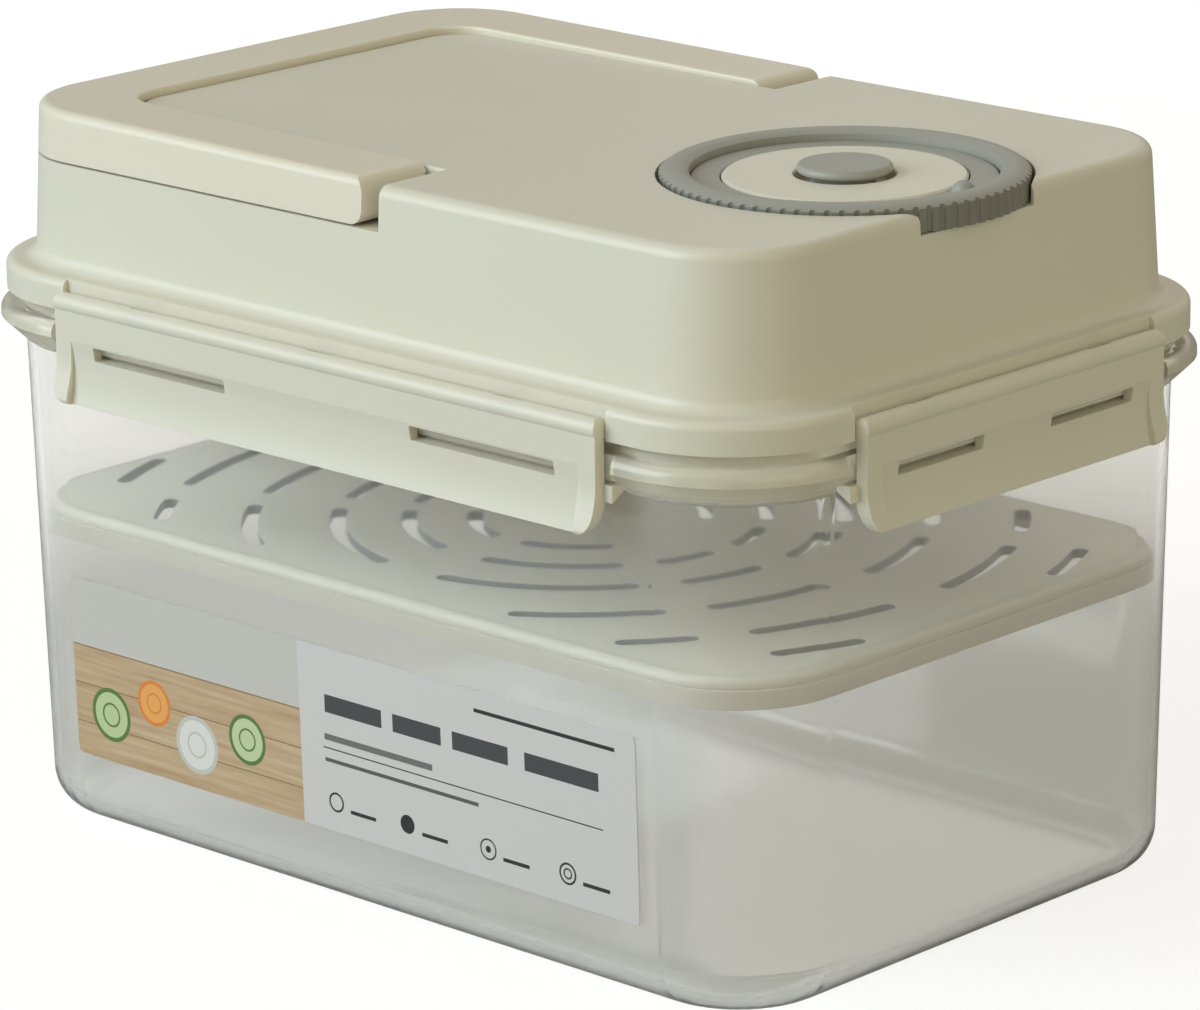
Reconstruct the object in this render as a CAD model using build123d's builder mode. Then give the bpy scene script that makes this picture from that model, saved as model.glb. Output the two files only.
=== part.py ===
"""Pickle container: a clear tapered tub, a deep lid with four snap latches, a folding
carry handle, a date dial with a vent button, and a slotted press plate inside.

Millimetres. +Z is up, -Y is the labelled front, +X is the dial end.
The origin is the middle of the underside of the tub.
"""
import os
from math import asin, atan2, cos, degrees, radians, sin

from build123d import *

os.makedirs("parts", exist_ok=True)

# Tub
tub_length = 240.0        # outside, at the rim
tub_width = 159.0
tub_corner = 28.0         # outside corner radius at the rim
tub_height = 129.5        # top of the lip
tub_draw_in = 2.6         # each wall leans in by this much at the base
tub_wall = 2.0
tub_floor = 2.4
base_round = 10.0
lip_out = 1.0             # the lip stands out from the wall by this much
lip_wall = 2.4
bead_out = 5.6            # rim bead, measured out from the wall
bead_height = 6.2
bead_drop = 11.7          # from the top of the lip down to the ledge that the hooks catch
bead_belly = 2.6          # the bead is widest from this far above the ledge
bead_foot = 2.9           # between the latches it slopes on down to the wall below the ledge
bead_relief = 1.9         # the bead is planed back behind each latch

# Lid shell
fit_gap = 0.4             # running gap between the lid skirt and the lip
skirt_wall = 2.6
skirt_lap = 2.7           # how far the skirt reaches down past the lip
flange_rise = 4.5         # top of the flange above the lip
flange_plate = 2.2
flange_round = 2.0
hood_height = 34.4        # hood above the flange
hood_step_in = 3.0        # hood foot, in from the tub wall line
hood_draft = 2.0          # the hood draws in by this much at its top
hood_wall = 2.2
hood_round = 2.8
edge_round = 0.7          # small round on the edges of the cut-outs
foot_round = 3.0
rib_drop = 2.5            # inner rib below the top of the lip
rib_gap = 0.7
gasket_gap = 0.3

# Latches
latch_long = 168.4        # front and back
latch_short = 99.0       # left and right
latch_barrel = 2.3
latch_step = 0.45         # the flap lies this far behind the hinge band
latch_drop = 22.8         # from the hinge axis to the lower edge
latch_flare = 2.0         # the finger edge leans out by this much
latch_gap = 0.4           # flap to bead
latch_corner = 4.8        # lower corners seen from the front
latch_corner_top = 1.6
hinge_drop = 4.6          # hinge axis below the top of the flange
hinge_gap = 0.3
pin_radius = 0.8
pin_fit = 0.05
knuckle_radius = 1.45
knuckle_width = 7.0
knuckle_gap = 0.2
knuckle_web = 1.2         # web that carries the knuckle on the lid
web_slope = 30            # it falls away from the hinge towards the lid, degrees
latch_opens = 95          # swing that the knuckle pockets leave room for, degrees
seat_cut = 1.5            # the latch seats cut this far into the flange edge
hook_height = 3.7
hook_gap = 0.3            # hook under the bead
hook_reach_gap = 0.6      # hook tip to the tub wall
hook_over = 2.6           # the hook runs on past each end of the latch
slot_height = 3.3
slot_inset = 12.2         # slot end from the end of the latch
slot_inset_short = 10.5
slot_share_gap = 58.0     # long latch: plain middle between its two slots
slot_share_gap_short = 22.6
scoop_inset = 5.0         # finger scoop across the flap, in from its ends
scoop_depth = 0.7
scoop_radius = 30.0
scoop_drop = 14.5         # its middle below the hinge axis

# Carry handle
handle_width = 20.0       # flat strip seen from above
handle_corner = 10.0      # inner corner of the strip
handle_depth = 10.6       # side wall at the arm ends, seen from the front
handle_plate = 2.2
handle_cheek = 2.4
handle_proud = 0.9        # stands above the hood at the arm ends
handle_rise = 1.1         # and by this much more at the grip
handle_gap = 0.3
handle_seam = 0.6
ledge_gap = 0.5           # side wall above the ledge
pivot_x = 0.0
pivot_up = 6.5            # pivot above the lower edge of the arm
arm_tail = 4.3            # arm past the pivot
arm_round = 2.0
arm_end_round = 3.4
strip_round = 0.6
stub_radius = 2.2
stub_fit = 0.08
stub_length = 2.2

# Dial and vent
ring_radius = 40.4
ring_proud = 3.1          # the ring stands out of the end wall by this much
ring_depth = 6.6
ring_top = 1.9            # ring above the hood
ring_bore = 33.9
ring_shelf = 1.5          # inner shelf that runs under the index ring
ring_shelf_in = 2.6       # the shelf stops this far outside the disc
ring_ribs = 80
rib_groove = 0.85
notch_width = 37.4        # opening in the end wall through which the ring is turned
well_gap = 0.8
well_depth = 5.0
index_gap = 0.3
index_outer_gap = 0.4
index_rise = 1.4
index_foot = 1.7
pointer_half = 3.0
pointer_tip = 1.8
pointer_margin = 0.6
pointer_rise = 2.2
pointer_round = 1.2
pointer_turn = 8
disc_radius = 26.8
disc_top = 0.2            # disc below the hood top
button_radius = 10.5
button_top = 2.2
dish_gap = 0.6            # dish around the button
button_cap = 2.2
button_travel = 2.5
stem_radius = 2.0
vent_pocket_radius = 22.0
vent_pocket_depth = 10.0
seal_radius = 10.0
seal_thickness = 1.5
spring_radius = 4.6
spring_wire = 0.4
spring_turns = 5

# Press plate
plate_rest = 69.8         # underside of its skirt
plate_height = 6.7
plate_step = 2.5          # the upper body is set in above this seam, from the top
plate_step_in = 0.8
plate_top = 2.2
plate_skirt = 2.0
plate_gap = 0.3
plate_round = 2.6
slot_width = 3.8
slot_rings = (0.224, 0.354, 0.496, 0.669, 0.846, 0.984)   # shares of the plate's half length

# Label
label_length = 179.0
label_height = 43.0
label_middle_x = -2.5
label_middle_z = 40.0
label_thickness = 0.25

# Levels and lines that follow from the sizes above
half_x = tub_length / 2
half_y = tub_width / 2
bead_under = tub_height - bead_drop
bead_top = bead_under + bead_height
flange_top = tub_height + flange_rise
flange_under = flange_top - flange_plate
skirt_bottom = tub_height - skirt_lap
hood_top = flange_top + hood_height
skirt_in = lip_out + fit_gap
skirt_out = skirt_in + skirt_wall
rib_out = lip_out - lip_wall - rib_gap
hinge_z = flange_top - hinge_drop
bead_face = bead_out - bead_relief                      # planed face behind the latches
relief_long = latch_long + 2 * hook_over + 1
relief_short = latch_short + 2 * hook_over + 1


def footprint(grow, z):
    """Rounded rectangle around the tub's wall line, grown by `grow`, at height z."""
    with BuildSketch(Plane.XY.offset(z)) as outline:
        RectangleRounded(2 * (half_x + grow), 2 * (half_y + grow), tub_corner + grow)
    return outline.sketch


def wall_line(z):
    """How far the tub's outside stands from the wall line at height z."""
    return -tub_draw_in * (1 - z / bead_under)


def hood_line(z):
    """How far the hood's outside stands from the wall line at height z."""
    return -hood_step_in - hood_draft * (z - flange_top) / hood_height


# The rim bead of the tub: rounded on top, sloping back to the wall underneath. Where the
# latches lie it is planed back and cut off flat below, which leaves the ledge for the hooks.

bead_low = bead_under - bead_foot
bead_wide = bead_under + bead_belly
with BuildPart() as bead:
    loft([footprint(wall_line(bead_low), bead_low), footprint(bead_out, bead_wide)], ruled=True)
    extrude(footprint(bead_out, bead_wide), amount=bead_top - bead_wide)
    fillet(bead.faces().sort_by(Axis.Z)[-1].edges(), (bead_top - bead_wide) * 0.7)
    with BuildSketch(Plane.XY.offset(bead_under)):
        Rectangle(relief_long, 2 * (half_y + bead_out + 5))
        Rectangle(2 * (half_x + bead_out + 5), relief_short)
        Rectangle(2 * (half_x + bead_face), 2 * (half_y + bead_face), mode=Mode.SUBTRACT)
    extrude(amount=bead_height, mode=Mode.SUBTRACT)
    with BuildSketch(Plane.XY.offset(bead_low)):
        Rectangle(relief_long, 2 * (half_y + bead_out + 5))
        Rectangle(2 * (half_x + bead_out + 5), relief_short)
    extrude(amount=bead_foot, mode=Mode.SUBTRACT)

# The inside of the tub: the same taper one wall in, then a straight mouth.

with BuildPart() as tub_inside:
    loft(
        [footprint(wall_line(tub_floor) - tub_wall, tub_floor), footprint(-tub_wall, bead_under)],
        ruled=True,
    )
    fillet(tub_inside.faces().sort_by(Axis.Z)[0].edges(), base_round - tub_wall)
    extrude(footprint(lip_out - lip_wall, bead_under), amount=bead_drop + 1)

# The tub

with BuildPart() as tub:
    loft([footprint(wall_line(0), 0), footprint(0, bead_under)], ruled=True)
    fillet(tub.faces().sort_by(Axis.Z)[0].edges(), base_round)
    extrude(footprint(lip_out, bead_under), amount=bead_drop)
    add(bead.part)
    add(tub_inside.part, mode=Mode.SUBTRACT)
tub.part.label = "tub"

# The label lies flat on the sloping front wall

label_lean = degrees(atan2(tub_draw_in, bead_under))
label_plane = Plane(
    origin=(label_middle_x, -(half_y + wall_line(label_middle_z)), label_middle_z),
    x_dir=(1, 0, 0),
    z_dir=(0, -cos(radians(label_lean)), -sin(radians(label_lean))),
)
with BuildPart() as label:
    with BuildSketch(label_plane):
        RectangleRounded(label_length, label_height, 1.5)
    extrude(amount=label_thickness)
label.part.label = "label"

# The press plate

plate_under_line = wall_line(plate_rest) - tub_wall - plate_gap
plate_upper_line = plate_under_line - plate_step_in
plate_z = plate_rest + plate_height
plate_seam = plate_z - plate_step


def arc_slot(radius, start, end):
    """Slot along an arc about the middle of the plate, from angle start to end."""
    with BuildSketch() as slot:
        SlotArc(CenterArc((0, 0), radius, start, end - start), slot_width)
    return slot.sketch


with BuildPart() as press_plate:
    extrude(footprint(plate_under_line, plate_rest), amount=plate_height - plate_step)
    extrude(footprint(plate_upper_line, plate_seam), amount=plate_step)
    fillet(press_plate.faces().sort_by(Axis.Z)[-1].edges(), min(plate_round, plate_step * 0.9))
    extrude(
        footprint(plate_upper_line - plate_skirt, plate_rest),
        amount=plate_height - plate_top,
        mode=Mode.SUBTRACT,
    )
    # Drain slots: long arcs over the four corners, short ones over the two ends.
    with BuildSketch(Plane.XY.offset(plate_z)) as drain:
        for side in (0, 180):
            for mirrored in (1, -1):
                for ring, start, end in (
                    (0, 38, 78),
                    (1, 38, 79),
                    (2, 37, 80),
                    (3, 36, 58),
                    (4, 34, 42),
                    (1, 8, 24),
                    (2, 7, 25),
                    (3, 6, 26),
                    (4, 6, 25),
                    (5, 17, 26),
                ):
                    radius = slot_rings[ring] * (half_x + plate_upper_line)
                    add(arc_slot(radius, side + mirrored * start, side + mirrored * end))
    extrude(amount=-plate_height, mode=Mode.SUBTRACT)
press_plate.part.label = "press_plate"

# The lid shell

handle_top = hood_top + handle_proud
handle_bottom = handle_top - handle_depth
shelf_z = handle_top - handle_plate - handle_gap        # hood under the flat strip
ledge_z = handle_bottom - ledge_gap                     # hood under the side wall and the arm's tail
pivot_z = handle_bottom + pivot_up
island_y = half_y + hood_line(hood_top) - handle_width - handle_seam
island_x = half_x + hood_line(hood_top) - handle_width - handle_seam
pocket_front = pivot_x + arm_tail + 5.0                 # room for the arm's end as it swings
pocket_back = pivot_x - pivot_up - 2.0
inset = handle_cheek + handle_gap
clear_above = hood_height                               # cuts run up well past the hood top

ring_x = half_x + hood_line(hood_top) + ring_proud - ring_radius
well_radius = ring_radius + well_gap
well_z = hood_top - well_depth
vent_floor = hood_top - vent_pocket_depth


def handle_band(seam, front, z):
    """U-shaped area of the folded handle seen from above, at height z."""
    big = 2 * (half_x + half_y)
    with BuildSketch(Plane.XY.offset(z)) as band:
        with Locations((front - big / 2, 0)):
            Rectangle(big, big)
        with Locations((big / 2 - island_x - seam, 0)):
            RectangleRounded(big, 2 * (island_y + seam), handle_corner, mode=Mode.SUBTRACT)
    return band.sketch


def pocket_cut(grow, z):
    """The two open corners of the hood in which the arm tails swing."""
    deep = 40.0
    with BuildSketch(Plane.XY.offset(z)) as pocket:
        middle = (pocket_front + pocket_back) / 2
        for side in (1, -1):
            with Locations((middle, side * (island_y - grow + deep / 2))):
                Rectangle(pocket_front - pocket_back + 2 * grow, deep)
    return pocket.sketch


def beside_wall(into, z, front):
    """Strip outside the line `into` within the hood wall, behind x = front, from height z up."""
    with BuildPart() as strip:
        with BuildSketch(Plane.XY.offset(z)):
            with Locations((front - tub_length, 0)):
                Rectangle(2 * tub_length, 2 * tub_length)
        extrude(amount=clear_above)
        loft(
            [footprint(hood_line(z) - into, z), footprint(hood_line(z + clear_above) - into, z + clear_above)],
            ruled=True,
            mode=Mode.SUBTRACT,
        )
    return strip.part


side_room = beside_wall(inset + hood_wall, ledge_z - hood_wall, pocket_front)
side_ledge = beside_wall(inset, ledge_z, pocket_back)

# The hollow of the hood. It keeps one wall clear of the handle shelf, the arm pockets
# and the dial well.

with BuildPart() as hood_space:
    roof = hood_top - hood_wall
    loft(
        [footprint(hood_line(flange_top) - hood_wall, tub_height - rib_drop),
         footprint(hood_line(flange_top) - hood_wall, flange_top)],
        ruled=True,
    )
    loft(
        [footprint(hood_line(flange_top) - hood_wall, flange_top),
         footprint(hood_line(roof) - hood_wall, roof)],
        ruled=True,
    )
    fillet(hood_space.faces().sort_by(Axis.Z)[-1].edges(), hood_round * 0.5)
    extrude(handle_band(-hood_wall, pocket_front, shelf_z - hood_wall), amount=clear_above, mode=Mode.SUBTRACT)
    add(side_room, mode=Mode.SUBTRACT)
    extrude(pocket_cut(hood_wall, ledge_z - hood_wall), amount=clear_above, mode=Mode.SUBTRACT)
    for depth, radius in ((well_z, well_radius), (vent_floor, vent_pocket_radius)):
        with BuildSketch(Plane.XY.offset(depth - hood_wall)):
            with Locations((ring_x, 0)):
                Circle(radius + hood_wall)
        extrude(amount=clear_above, mode=Mode.SUBTRACT)

# The flange with its skirt, and the gasket channel between the skirt and an inner rib

with BuildPart() as flange:
    extrude(footprint(skirt_out, skirt_bottom), amount=flange_top - skirt_bottom)
    fillet(flange.faces().sort_by(Axis.Z)[-1].edges(), flange_round)

with BuildPart() as channel:
    extrude(footprint(skirt_in, skirt_bottom - 1), amount=flange_under - skirt_bottom + 1)
    extrude(
        footprint(rib_out, tub_height - rib_drop),
        amount=flange_under - tub_height + rib_drop,
        mode=Mode.SUBTRACT,
    )

# Seats for the four latches, cut through the flange edge

hinge_line = skirt_out + latch_barrel + hinge_gap - seat_cut
seat_line = hinge_line - latch_barrel - hinge_gap
with BuildPart() as seats:
    with BuildSketch(Plane.XY.offset(skirt_bottom - 1)):
        Rectangle(latch_long + 0.6, 2 * (half_y + skirt_out + 2))
        Rectangle(2 * (half_x + skirt_out + 2), latch_short + 0.6)
        Rectangle(2 * (half_x + seat_line), 2 * (half_y + seat_line), mode=Mode.SUBTRACT)
    extrude(amount=flange_top - skirt_bottom + 2)

with BuildPart() as lid_hood:
    loft(
        [footprint(hood_line(flange_top), flange_top), footprint(hood_line(hood_top), hood_top)],
        ruled=True,
    )
    fillet(lid_hood.faces().sort_by(Axis.Z)[-1].edges(), hood_round)
    add(flange.part)
    foot = lid_hood.edges().filter_by_position(Axis.Z, flange_top - 0.01, flange_top + 0.01)
    foot = foot.filter_by(lambda e: abs(e.center().Y) < half_y and abs(e.center().X) < half_x)
    fillet(foot, foot_round)
    add(channel.part, mode=Mode.SUBTRACT)
    add(hood_space.part, mode=Mode.SUBTRACT)
    # Shelf for the folded handle, then the ledge under its side walls.
    extrude(handle_band(0, pocket_back, shelf_z), amount=clear_above, mode=Mode.SUBTRACT)
    add(side_ledge, mode=Mode.SUBTRACT)
    extrude(pocket_cut(0, ledge_z), amount=clear_above, mode=Mode.SUBTRACT)
    # Bearings for the handle stubs.
    for side in (1, -1):
        with Locations(Location((pivot_x, side * (island_y - 0.7), pivot_z), (90, 0, 0))):
            Cylinder(stub_radius + stub_fit, stub_length + 1.4, mode=Mode.SUBTRACT)
    # Dial well, open through the end wall, and the vent pocket in its middle.
    with BuildSketch(Plane.XY.offset(well_z)):
        with Locations((ring_x, 0)):
            Circle(well_radius)
        with Locations((half_x, 0)):
            Rectangle(2 * (half_x - ring_x - ring_radius * 0.8), notch_width)
    extrude(amount=clear_above, mode=Mode.SUBTRACT)
    with BuildSketch(Plane.XY.offset(vent_floor)):
        with Locations((ring_x, 0)):
            Circle(vent_pocket_radius)
    extrude(amount=clear_above, mode=Mode.SUBTRACT)
    with BuildSketch(Plane.XY.offset(vent_floor)):
        with Locations((ring_x, 0)):
            Circle(stem_radius + 0.3)
            with PolarLocations(7.6, 4, start_angle=45):
                Circle(0.9)
    extrude(amount=-2 * hood_wall, mode=Mode.SUBTRACT)
    # Small rounds along the island and the fronts of the arm pockets.
    rims = lid_hood.edges().filter_by_position(Axis.Z, hood_top - 0.01, hood_top + 0.01)
    rims = rims.filter_by(lambda e: e.center().X < pocket_front + 0.05)
    fronts = lid_hood.edges().filter_by_position(Axis.X, pocket_front - 0.01, pocket_front + 0.01)
    fronts = fronts.filter_by(lambda e: abs(e.center().Y) > island_y + handle_width / 2 and e.center().Z > ledge_z + 1)
    fillet(rims + fronts.filter_by(lambda e: e not in rims), edge_round)
    add(seats.part, mode=Mode.SUBTRACT)
    # Hinge knuckles, each on a web that slopes down to the seat.
    reach_in = (latch_barrel + hinge_gap + 0.6) / cos(radians(web_slope))
    for turn, reach, places in (
        (0, half_y + hinge_line, (-latch_long * 0.34, 0, latch_long * 0.34)),
        (180, half_y + hinge_line, (-latch_long * 0.34, 0, latch_long * 0.34)),
        (90, half_x + hinge_line, (-latch_short * 0.3, latch_short * 0.3)),
        (270, half_x + hinge_line, (-latch_short * 0.3, latch_short * 0.3)),
    ):
        spot = Plane.XY.rotated((0, 0, turn)).location
        for place in places:
            hinge = spot * Location((place, -reach, hinge_z), (-web_slope, 0, 0))
            with Locations(hinge * Location((0, 0, 0), (0, 90, 0))):
                Cylinder(knuckle_radius, knuckle_width)
            with Locations(hinge * Location((0, reach_in / 2, 0))):
                Box(knuckle_width, reach_in, knuckle_web)
            with Locations(hinge * Location((0, 0, 0), (0, 90, 0))):
                Cylinder(pin_radius + pin_fit, knuckle_width + 1, mode=Mode.SUBTRACT)
lid_hood.part.label = "lid_hood"

with BuildPart() as lid_gasket:
    extrude(footprint(skirt_in - 0.2, tub_height + gasket_gap), amount=flange_under - tub_height - gasket_gap)
    extrude(
        footprint(rib_out + 0.2, tub_height + gasket_gap),
        amount=flange_under - tub_height - gasket_gap,
        mode=Mode.SUBTRACT,
    )
lid_gasket.part.label = "lid_gasket"

# The four latches. Each is drawn with its hinge pin on the X axis and its outer face
# towards -Y, then set on its own side of the lid.

hook_top = bead_under - hook_gap - hinge_z
hook_tip = hinge_line - wall_line(bead_under - hook_height) - hook_reach_gap


def snap_latch(length, knuckles, slot_gap, inset_of_slot):
    """One latch, hinge pin along X through the origin, outside facing -Y."""
    flap_in = hinge_line - bead_face - latch_gap
    flap_out = latch_barrel - latch_step
    with BuildPart() as latch:
        # Cross-section of the flap, in the plane across the pin.
        with BuildSketch(Plane.YZ.offset(-length / 2)):
            with BuildLine():
                Polyline(
                    (flap_in, 0),
                    (-flap_out, 0),
                    (-flap_out, hook_top),
                )
                Spline(
                    (-flap_out, hook_top),
                    (-flap_out - latch_flare, -latch_drop + 1.2),
                    tangents=((0, -1), (-0.2, -1)),
                )
                ThreePointArc(
                    (-flap_out - latch_flare, -latch_drop + 1.2),
                    (-flap_out - latch_flare + 0.4, -latch_drop + 0.25),
                    (-flap_out - latch_flare + 1.2, -latch_drop),
                )
                Polyline(
                    (-flap_out - latch_flare + 1.2, -latch_drop),
                    (flap_in - latch_flare - 0.2, -latch_drop),
                    (flap_in, -latch_drop * 0.72),
                    (flap_in, 0),
                )
            make_face()
            Circle(latch_barrel)
        extrude(amount=length)
        # Front outline: small upper corners, larger lower ones.
        with BuildSketch(Plane.XZ) as outline:
            with BuildLine():
                FilletPolyline(
                    (-length / 2, latch_barrel),
                    (length / 2, latch_barrel),
                    (length / 2, -latch_drop),
                    (-length / 2, -latch_drop),
                    radius=(latch_corner_top, latch_corner_top, latch_corner, latch_corner),
                    close=True,
                )
            make_face()
        extrude(amount=12, both=True, mode=Mode.INTERSECT)
        # Shallow finger scoop across the flap.
        scoop_y = -flap_out - scoop_radius + scoop_depth
        with Locations(Location((0, scoop_y, -scoop_drop), (0, 90, 0))):
            Cylinder(scoop_radius, length - 2 * scoop_inset, mode=Mode.SUBTRACT)
        # The hook that bites under the ledge, a little longer than the flap.
        with BuildSketch(Plane.YZ.offset(-length / 2 - hook_over)):
            with BuildLine():
                Polyline(
                    (flap_in - 0.5, hook_top),
                    (hook_tip - 0.3, hook_top),
                    (hook_tip, hook_top - 0.5),
                    (hook_tip, hook_top - 1.4),
                    (flap_in - 0.5, hook_top - hook_height),
                    (flap_in - 0.5, hook_top),
                )
            make_face()
        extrude(amount=length + 2 * hook_over)
        # The two windows over the hook.
        window = (length - slot_gap) / 2 - inset_of_slot
        middle = slot_gap / 2 + window / 2
        with BuildSketch(Plane.XZ.offset(-hook_tip - 1)):
            with Locations((-middle, hook_top + slot_height / 2), (middle, hook_top + slot_height / 2)):
                RectangleRounded(window, slot_height, 0.5)
        extrude(amount=hook_tip + latch_barrel + latch_flare + 4, mode=Mode.SUBTRACT)
        # Room for the lid's knuckles and their webs over the whole swing, behind an
        # unbroken front, with the pin left running through.
        pocket_radius = knuckle_radius + knuckle_gap
        spread = degrees(asin((knuckle_web / 2 + knuckle_gap) / pocket_radius))
        low = radians(-web_slope - spread)
        high = radians(latch_opens - web_slope + spread)
        far = 2 * latch_barrel
        clear = knuckle_width + 0.6
        for place in knuckles:
            with BuildSketch(Plane.YZ.offset(place - clear / 2)):
                with BuildLine():
                    Polyline(
                        (0, 0),
                        (far * cos(low), far * sin(low)),
                        (far * cos((low + high) / 2), far * sin((low + high) / 2)),
                        (far * cos(high), far * sin(high)),
                        (0, 0),
                    )
                make_face()
                Circle(pocket_radius)
            extrude(amount=clear, mode=Mode.SUBTRACT)
            with Locations(Location((place, 0, 0), (0, 90, 0))):
                Cylinder(pin_radius, clear + 2)
    return latch.part


long_latch = snap_latch(
    latch_long, (-latch_long * 0.34, 0, latch_long * 0.34), slot_share_gap, slot_inset
)
short_latch = snap_latch(
    latch_short, (-latch_short * 0.3, latch_short * 0.3), slot_share_gap_short, slot_inset_short
)

with BuildPart() as latch_front:
    with Locations(Location((0, -(half_y + hinge_line), hinge_z))):
        add(long_latch)
latch_front.part.label = "latch_front"

with BuildPart() as latch_back:
    with Locations(Location((0, half_y + hinge_line, hinge_z), (0, 0, 180))):
        add(long_latch)
latch_back.part.label = "latch_back"

with BuildPart() as latch_right:
    with Locations(Location((half_x + hinge_line, 0, hinge_z), (0, 0, 90))):
        add(short_latch)
latch_right.part.label = "latch_right"

with BuildPart() as latch_left:
    with Locations(Location((-(half_x + hinge_line), 0, hinge_z), (0, 0, 270))):
        add(short_latch)
latch_left.part.label = "latch_left"

# The carry handle. Its strip rises slightly from the arm ends to the grip.

band_front = pivot_x + arm_tail
big = 2 * (half_x + half_y)
rise_angle = degrees(atan2(handle_rise, band_front + half_x))
arm_y = island_y + handle_seam
arm_out = half_y + hood_line(handle_bottom)


def strip_level(grow, z):
    """Footprint on the slightly rising plane of the strip, which has height z at the arm ends."""
    level = Plane((band_front, 0, z), z_dir=(sin(radians(rise_angle)), 0, cos(radians(rise_angle))))
    with BuildSketch(level) as outline:
        with Locations((-band_front, 0)):
            RectangleRounded(2 * (half_x + grow), 2 * (half_y + grow), tub_corner + grow)
    return outline.sketch


with BuildPart() as carry_handle:
    loft(
        [footprint(hood_line(handle_bottom), handle_bottom), strip_level(hood_line(handle_top), handle_top)],
        ruled=True,
    )
    fillet(carry_handle.faces().sort_by(Axis.Z)[-1].edges(), arm_round)
    under = handle_top - handle_plate
    loft(
        [footprint(hood_line(handle_bottom - 1) - handle_cheek, handle_bottom - 1),
         strip_level(hood_line(under) - handle_cheek, under)],
        ruled=True,
        mode=Mode.SUBTRACT,
    )
    # Seen from above only the U of the strip stays.
    with BuildSketch(Plane.XY.offset(handle_bottom)) as strip:
        with Locations((band_front - big / 2, 0)):
            Rectangle(big, big)
        with Locations((big / 2 - island_x - handle_seam, 0)):
            RectangleRounded(big, 2 * arm_y, handle_corner, mode=Mode.SUBTRACT)
    extrude(amount=handle_depth + 2 * handle_rise, mode=Mode.INTERSECT)
    # Soft edge along the inside of the strip.
    inner = carry_handle.edges().filter_by(lambda e: e.center().Z > handle_top and e.center().X < pivot_x)
    inner = inner.filter_by(lambda e: abs(e.center().Y) < arm_y + 1 and e.center().X > -island_x - 5)
    fillet(inner, strip_round)
    # Rounded tails, cheeks around the stubs, and end walls.
    cheek = under + handle_plate / 2 - pivot_z
    for side in (1, -1):
        with BuildSketch(Plane.XZ.offset(-side * arm_y)):
            with Locations((pivot_x, pivot_z)):
                Circle(cheek)
            with Locations((pivot_x, pivot_z + cheek / 2)):
                Rectangle(2 * cheek, cheek)
        extrude(amount=-side * handle_cheek)
        with BuildSketch(Plane.XZ.offset(-side * arm_y)):
            with Locations((pivot_x, pivot_z)):
                Circle(stub_radius)
        extrude(amount=side * stub_length)
        end_height = handle_top - handle_bottom - handle_plate
        with Locations((band_front - 1.0, side * (arm_y + arm_out) / 2, pivot_z + stub_radius - end_height / 2)):
            Box(2.0, arm_out - arm_y - 1.0, end_height)
    with BuildSketch(Plane.XZ) as arm_side:
        with BuildLine():
            Polyline(
                (band_front, handle_bottom),
                (band_front, handle_top),
                (band_front - big, handle_top + big / half_x * handle_rise),
                (band_front - big, handle_bottom),
                (band_front, handle_bottom),
            )
        make_face()
        fillet(arm_side.vertices().group_by(Axis.X)[-1], arm_end_round)
    extrude(amount=half_y, both=True, mode=Mode.INTERSECT)
carry_handle.part.label = "carry_handle"

# The date dial

ring_z = hood_top + ring_top
with BuildPart() as date_ring:
    ring_low = ring_z - ring_depth
    with BuildSketch(Plane.XZ):
        with BuildLine():
            Polyline(
                (disc_radius + ring_shelf_in, ring_low),
                (ring_radius, ring_low),
                (ring_radius, ring_z - 1.4),
            )
            ThreePointArc(
                (ring_radius, ring_z - 1.4),
                ((ring_radius + ring_bore) / 2, ring_z),
                (ring_bore, ring_z - 1.0),
            )
            Polyline(
                (ring_bore, ring_z - 1.0),
                (ring_bore, ring_low + ring_shelf),
                (disc_radius + ring_shelf_in, ring_low + ring_shelf),
                (disc_radius + ring_shelf_in, ring_low),
            )
        make_face()
    revolve(axis=Axis.Z)
    with BuildSketch(Plane.XY.offset(ring_low)):
        Circle(ring_radius)
        with PolarLocations(ring_radius + rib_groove * 0.35, ring_ribs):
            Circle(rib_groove, mode=Mode.SUBTRACT)
    extrude(amount=ring_depth, mode=Mode.INTERSECT)
date_ring.part = date_ring.part.moved(Location((ring_x, 0, 0)))
date_ring.part.label = "date_ring"

# The fixed index ring inside it, with its pointer

index_in = disc_radius + index_gap
index_out = ring_bore - index_outer_gap
index_z = ring_low + ring_shelf + index_gap + index_rise
with BuildPart() as index_ring:
    with BuildSketch(Plane.XZ):
        with BuildLine():
            Polyline(
                (index_in, well_z),
                (index_in + index_foot, well_z),
                (index_in + index_foot, ring_low + ring_shelf + index_gap),
                (index_out, ring_low + ring_shelf + index_gap),
                (index_out, index_z - 0.3),
                (index_out - 0.3, index_z),
                (index_in, index_z),
                (index_in, well_z),
            )
        make_face()
    revolve(axis=Axis.Z)
    # The pointer: a small ridge that narrows towards the numbered ring.
    with BuildSketch(Plane.XY.offset(index_z)):
        with BuildLine():
            Polyline(
                (index_in + pointer_margin, -pointer_half),
                (index_out - pointer_margin - pointer_tip, -pointer_half),
                (index_out - pointer_margin, 0),
                (index_out - pointer_margin - pointer_tip, pointer_half),
                (index_in + pointer_margin, pointer_half),
                (index_in + pointer_margin, -pointer_half),
            )
        make_face()
    extrude(amount=pointer_rise, taper=12)
    fillet(index_ring.faces().sort_by(Axis.Z)[-1].edges(), pointer_round)
index_ring.part = index_ring.part.moved(Location((ring_x, 0, 0), (0, 0, pointer_turn)))
index_ring.part.label = "index_ring"

# The cream disc in the middle, dished for the button

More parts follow.
